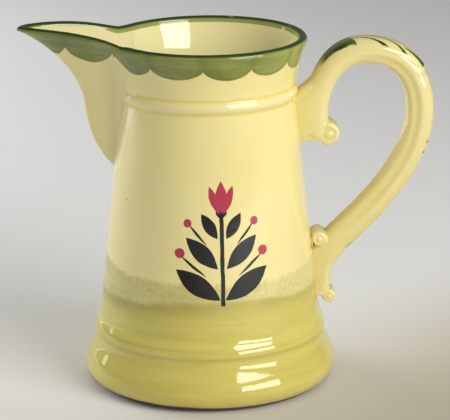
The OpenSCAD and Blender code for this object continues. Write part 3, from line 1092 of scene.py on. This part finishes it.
def body_glaze():
    paint = Paint("painted_body_glaze")
    x, y, z = paint.x, paint.y, paint.z
    radius = paint.reach(x, y)
    turn = paint.turn(y, x)
    middle = 53.6 - 0.1088 * (z - WAIST[1]) + 0.46 * paint.most(z - 157.0, 0.0)
    outside = paint.step(radius - middle, -0.4, 0.4)
    drop = (RIM_HEIGHT - z) * (outside * 2.0 - 1.0)
    base = glaze_ground(paint)
    # painted light: the inside takes a paler glaze than the outside, so the hollow renders brighter
    base = paint.blend((1.0 - outside) * 0.9, base, PALE_INSIDE)
    grooves = paint.most(*[paint.step(abs(z - at), wide, 0.2) for at, wide in GROOVE_SHADES])
    base = paint.blend(outside * grooves * 0.7, base, DEEP_YELLOW)
    wobble = hand_wobble(paint)

    streak = paint.noise(24, stretch=(1, 1, 14), detail=4, rough=0.5)
    blotch = paint.noise(30, stretch=(1, 1, 2.5), detail=2, shift=(6, 0, 3))
    pool = paint.mark("pooling")
    thin = 0.2 + 0.35 * paint.step(streak, 0.3, 0.7) + 0.35 * paint.step(blotch, 0.3, 0.7)
    wash_with_painted_light = paint.blend(thin, OLIVE, PALE_OLIVE)
    # shaded_side is 1 on the left, away from the key light; every share scaled by it is painted
    # shade
    shaded_side = paint.step(x, 24, -30)
    # Darker olive in the creases: the valley line and the pooling are glaze gathered there, the
    # crease above the bead is painted shade on the left side only
    creases = paint.most(
        paint.step(abs(z - 26.9), 2.2, 0.2) * 0.5,
        paint.step(abs(z - 31.8), 1.6, 0.2) * shaded_side,
        paint.step(pool, 0.2, 1.0) * 0.3,
    )
    wash_with_painted_light = paint.blend(creases * 0.36, wash_with_painted_light, GROUND_GREEN)
    # painted light: paler wash over the top of the bead and the cove above it, lifting the shade
    # there
    wash_with_painted_light = paint.blend(paint.step(abs(z - 33.8), 4.0, 1.0) * 0.8, wash_with_painted_light, PALE_OLIVE)
    # darker towards the top of the wash; the extra darkening on the left side is painted shade
    wash_with_painted_light = paint.blend(paint.step(z, 42, 54) * (0.12 + 0.28 * shaded_side), wash_with_painted_light, GROUND_GREEN)
    sponge = paint.step(paint.noise(560, detail=4, rough=0.65), 0.4, 0.64)
    sponge_top = 68.3 - 4.2 * paint.math("COSINE", (turn + 85.0) * (math.pi / 180)) + 5.0 * wobble
    ragged = z - sponge_top - 6.0 * (paint.noise(330, detail=4, rough=0.6) - 0.5)
    # sponge dabs, laid heavier on the left side as painted shade
    sponge_dabs_and_shade = 0.22 + 0.22 * sponge + 0.2 * paint.step(blotch, 0.35, 0.65) + 0.22 * shaded_side
    base = paint.blend(outside * paint.step(ragged, 1.2, -2.2) * sponge_dabs_and_shade, base, SPONGE_GREEN)
    height = z - 54.6 - 3.0 * wobble + 4.8 * paint.step(x, -12, -54) + 2.2 * paint.step(x, 14, 50)
    base = paint.blend(outside * paint.step(height, 2.0, -1.2), base, wash_with_painted_light)
    load = paint.step(paint.noise(30, stretch=(1, 1, 2), detail=3), 0.35, 0.65)
    line = paint.step(height, 2.2, 0.2) * paint.step(height, -8.0, -0.4)
    # the ground line is a little darker on the left side, as painted shade
    amount = (0.06 + 0.25 * load + 0.02 * shaded_side) * (0.7 + 0.4 * streak)
    base = paint.blend(outside * line * amount, base, GROUND_GREEN)

    around = (turn - SPRIG_TURN) * (math.pi / 180) * SPRIG_RADIUS
    hand = paint.noise(150, detail=2, shift=(4, 4, 4)) - 0.5
    black, red = sprig(paint, around + 0.9 * hand, z + 0.7 * wobble)
    front = outside * paint.step(y, -10, -20)
    base = paint.blend(front * black, base, BLACK)
    base = paint.blend(front * red, base, CRIMSON)

    band, green = scalloped_rim(paint, drop)
    green = paint.blend(paint.step(z, 178.5, 179.4), green, DARK_GREEN)
    green = paint.blend(paint.step(z, 178.6, 179.4) * worn_crest(paint) * 0.5, green, OLIVE)
    base = paint.blend(band, base, green)

    # Bare brown clay at the unglazed foot; on the left the brown line reaches higher, a painted
    # shadow under the foot
    bare_foot_and_shadow_line = paint.step(z + 1.2 * wobble - 0.9 * shaded_side, 2.9, 2.3)
    bare_foot_and_shadow_line = bare_foot_and_shadow_line * paint.step(radius, 48.6, 49.2)
    base = paint.blend(bare_foot_and_shadow_line, base, CLAY_AND_SHADOW_BROWN)
    base = paint.blend(paint.specks(95, 0.055) * outside, base, CLAY_AND_SHADOW_BROWN)
    return paint.finish(base, glaze_gloss(paint) + 0.62 * bare_foot_and_shadow_line, rim_relief(paint, band))


def spout_glaze():
    paint = Paint("painted_spout_glaze")
    drop = paint.mark("drop")
    base = glaze_ground(paint)
    # The spout's glaze is paler than the body's, a painted reflection of the room on its glossy
    # flank, and paler still inside, as painted light in the channel
    base = paint.blend(0.3 + 0.3 * paint.step(drop, 0, -4), base, CREAM)
    band, green = scalloped_rim(paint, drop)
    crest = paint.step(abs(drop), 1.5, 0.6)
    green = paint.blend(crest, green, DARK_GREEN)
    base = paint.blend(band, base, green)
    return paint.finish(base, glaze_gloss(paint), rim_relief(paint, band))


LOOP_MIDDLE = (79.0, 137.0)


def handle_strokes(paint):
    """Brush strokes that lean across the strap, thicker towards the edge they end at."""
    across, up = paint.x - LOOP_MIDDLE[0], paint.z - LOOP_MIDDLE[1]
    turn = paint.turn(up, across)
    reach = paint.reach(across, up)
    hand = (paint.noise(160, detail=2, shift=(2, 7, 1)) - 0.5) * 1.6

    def leaning(side, start, slant, thin, thick, tail):
        off = abs(turn - start + slant * side + hand) - (thin + thick * paint.most(side, 0.0))
        stroke = paint.step(off, 0.5, -0.3)
        return stroke * paint.step(side, tail - 1.2, tail) * paint.step(side, 8.0, 7.5)

    near, far = 0.0 - paint.y, paint.y
    broad = paint.step(7.6 - (turn - 95.0) * 0.05 - near + hand, -0.3, 0.4)
    broad = broad * paint.step(near, -6, -4)
    broad = broad * paint.step(turn - 96.0 - 0.45 * (7.5 - near), -0.7, 0.7)
    broad = broad * paint.step(turn, 132, 122)
    along = paint.step(abs(near - 5.0) - 0.06 * (68.0 - turn), 0.3, -0.3)
    along = along * paint.step(turn, 62, 58) * paint.step(turn, 39, 41)
    crown = paint.most(
        broad,
        along,
        leaning(near, 101, 3.5, 1.6, 0.1, -4.0),
        leaning(near, 84, 3.4, 1.4, 0.1, -4.0),
        leaning(far, 108, 3.2, 1.2, 0.2, 2.5),
        leaning(far, 90, 3.2, 1.1, 0.2, 2.5),
        leaning(far, 70, 3.2, 1.1, 0.2, 2.5),
    )
    crown = crown * paint.step(reach + 6.0 * paint.step(turn, 96, 126), 36.6, 37.4)
    side = abs(paint.y)
    ticks = [paint.step(abs(turn + side - start + hand) - 0.9, 0.5, -0.3) for start in (-17, -26)]
    ticks = paint.most(*ticks) * paint.step(reach, 33, 35)
    drops = [paint.step(abs(paint.z + side - start + hand) - 0.8, 0.3, -0.3) for start in (76, 65)]
    drops = paint.most(*drops) * paint.step(paint.x + 0.42 * paint.z, 88.5, 89.5)
    lower = paint.most(ticks, drops) * paint.step(side, 7.2, 6.6)
    return paint.most(crown, lower), side / 7.8


def handle_glaze():
    paint = Paint("painted_handle_glaze")
    # painted shade: the handle takes a darker copy of the body's glaze
    base = glaze_ground(paint, 0.3, HANDLE_YELLOW)
    strokes, share = handle_strokes(paint)
    green = paint.blend(paint.step(share, 0.1, 0.8), LEAF_GREEN, DARK_GREEN)
    green = paint.blend(paint.step(paint.noise(90, detail=3), 0.4, 0.7) * 0.4, green, LEAF_GREEN)
    base = paint.blend(strokes, base, green)
    return paint.finish(base, glaze_gloss(paint), glaze_relief(paint) + 0.4 * strokes)


def slip_glaze():
    paint = Paint("glazed_slip")
    cloud = paint.noise(200, detail=3)
    base = paint.blend(paint.step(cloud, 0.3, 0.7), FIRED_SLIP, DEEP_YELLOW)
    gloss = 0.08 + 0.1 * paint.noise(80, detail=2)
    return paint.finish(base, gloss, glaze_relief(paint))


def dress(piece, node, material):
    piece.data.materials.clear()
    piece.data.materials.append(material)
    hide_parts(node)
    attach(piece, "root")


dress(body, "body", body_glaze())
dress(spout, "spout", spout_glaze())
dress(handle, "handle", handle_glaze())
wiped_slip = slip_glaze()
for node, piece in slips.items():
    dress(piece, node, wiped_slip)


# table, light and camera


def table_paper():
    paint = Paint("pale_table_paper")
    tooth = paint.noise(900, detail=3)
    shade = paint.noise(1.6, detail=1)
    paper = paint.blend(paint.step(shade, 0.3, 0.7), PAPER, PALE_PAPER)
    # Painted light on the paper: darker towards the back and the right and towards the front edge,
    # with a warm painted shadow, tinted by yellow bounce, to the right of the foot
    away = paint.y + 0.9 * paint.x
    paper = paint.blend(paint.step(away, 200, 1300) * 0.6, paper, PAPER_IN_SHADE)
    beside = paint.x - paint.y
    warm_painted_shadow = paint.step(beside, -50, 210) * paint.step(beside, 640, 340)
    paper = paint.blend(warm_painted_shadow * 0.95, paper, PAPER_IN_WARM_SHADOW)
    paper = paint.blend(paint.step(paint.y, 40, -120) * 0.3, paper, PAPER_IN_SHADE)
    return paint.finish(paper, 0.75 + 0.1 * tooth, tooth, strength=0.05, distance=0.0004)


clear_selection()
bpy.ops.mesh.primitive_plane_add(size=8)
table = named("table")
table.data.materials.append(table_paper())


WHITE = (1.0, 1.0, 1.0)
DAYLIGHT = (1.0, 0.98, 0.93)
LIGHT_AIM = (0, 0, 0.09)


def soft_light(name, turn, lift, distance, size, power, tint, mirrored_in_glaze=True, shines=True):
    """A soft window of light; turn is to the right of straight in front, lift above the table.

    A window can light the scene, be mirrored in the glaze, or both.
    """
    lamp = bpy.data.lights.new(name, "AREA")
    lamp.shape = "RECTANGLE"
    lamp.size, lamp.size_y = size
    lamp.energy = power
    lamp.color = tint
    holder = bpy.data.objects.new(name, lamp)
    holder.visible_glossy = mirrored_in_glaze
    holder.visible_diffuse = shines
    bpy.context.scene.collection.objects.link(holder)
    a, e = math.radians(turn), math.radians(lift)
    towards = Vector((math.sin(a) * math.cos(e), -math.cos(a) * math.cos(e), math.sin(e)))
    holder.location = Vector(LIGHT_AIM) + towards * distance
    holder.rotation_euler = towards.to_track_quat("Z", "Y").to_euler()


soft_light("window_upper", 43, 34, 1.5, (1.0, 0.42), 11.6, DAYLIGHT, False)
soft_light("window_upper_pane", 43, 29, 1.44, (0.95, 0.34), 8.9, DAYLIGHT, True, False)
soft_light("window_lower", 43, 8.5, 1.3, (0.88, 0.34), 3.0, DAYLIGHT, False)
soft_light("window_lower_pane", 43, 8, 1.24, (0.83, 0.27), 5.8, DAYLIGHT, True, False)
soft_light("left_rear_wall", -133, 9, 1.4, (0.9, 0.5), 13, WHITE, False)
soft_light("left_rear_slit", -119, 8, 1.4, (0.13, 0.3), 0.35, WHITE)


ROOM_LIGHT = 0.34
MIRRORED_ROOM_LIGHT = 0.16


def soft_room():
    """Even light from the room; mirrored in the glaze, the room is darker."""
    world = bpy.data.worlds.new("soft_room")
    bpy.context.scene.world = world
    world.use_nodes = True
    tree = world.node_tree
    walls = tree.nodes["Background"]
    mirrored_walls = tree.nodes.new("ShaderNodeBackground")
    for background, strength in ((walls, ROOM_LIGHT), (mirrored_walls, MIRRORED_ROOM_LIGHT)):
        background.inputs["Color"].default_value = (*WHITE, 1.0)
        background.inputs["Strength"].default_value = strength
    ray = tree.nodes.new("ShaderNodeLightPath")
    choice = tree.nodes.new("ShaderNodeMixShader")
    tree.links.new(ray.outputs["Is Glossy Ray"], choice.inputs[0])
    tree.links.new(walls.outputs[0], choice.inputs[1])
    tree.links.new(mirrored_walls.outputs[0], choice.inputs[2])
    tree.links.new(choice.outputs[0], tree.nodes["World Output"].inputs["Surface"])


soft_room()

CAMERA_PLACE = (-0.0643, -1.1869, 0.432)
CAMERA_TURN = -0.0611
CAMERA_DIP = 0.2817
CAMERA_ROLL = -0.0088
lens = bpy.data.cameras.new("camera")
lens.lens = 192.8
lens.sensor_width = 36.0
camera = bpy.data.objects.new("camera", lens)
bpy.context.scene.collection.objects.link(camera)
camera.matrix_world = (
    Matrix.Translation(CAMERA_PLACE)
    @ Matrix.Rotation(CAMERA_TURN, 4, "Z")
    @ Matrix.Rotation(math.pi / 2 - CAMERA_DIP, 4, "X")
    @ Matrix.Rotation(CAMERA_ROLL, 4, "Z")
)
bpy.context.scene.camera = camera
bpy.context.scene.view_settings.view_transform = "Standard"

clear_selection()
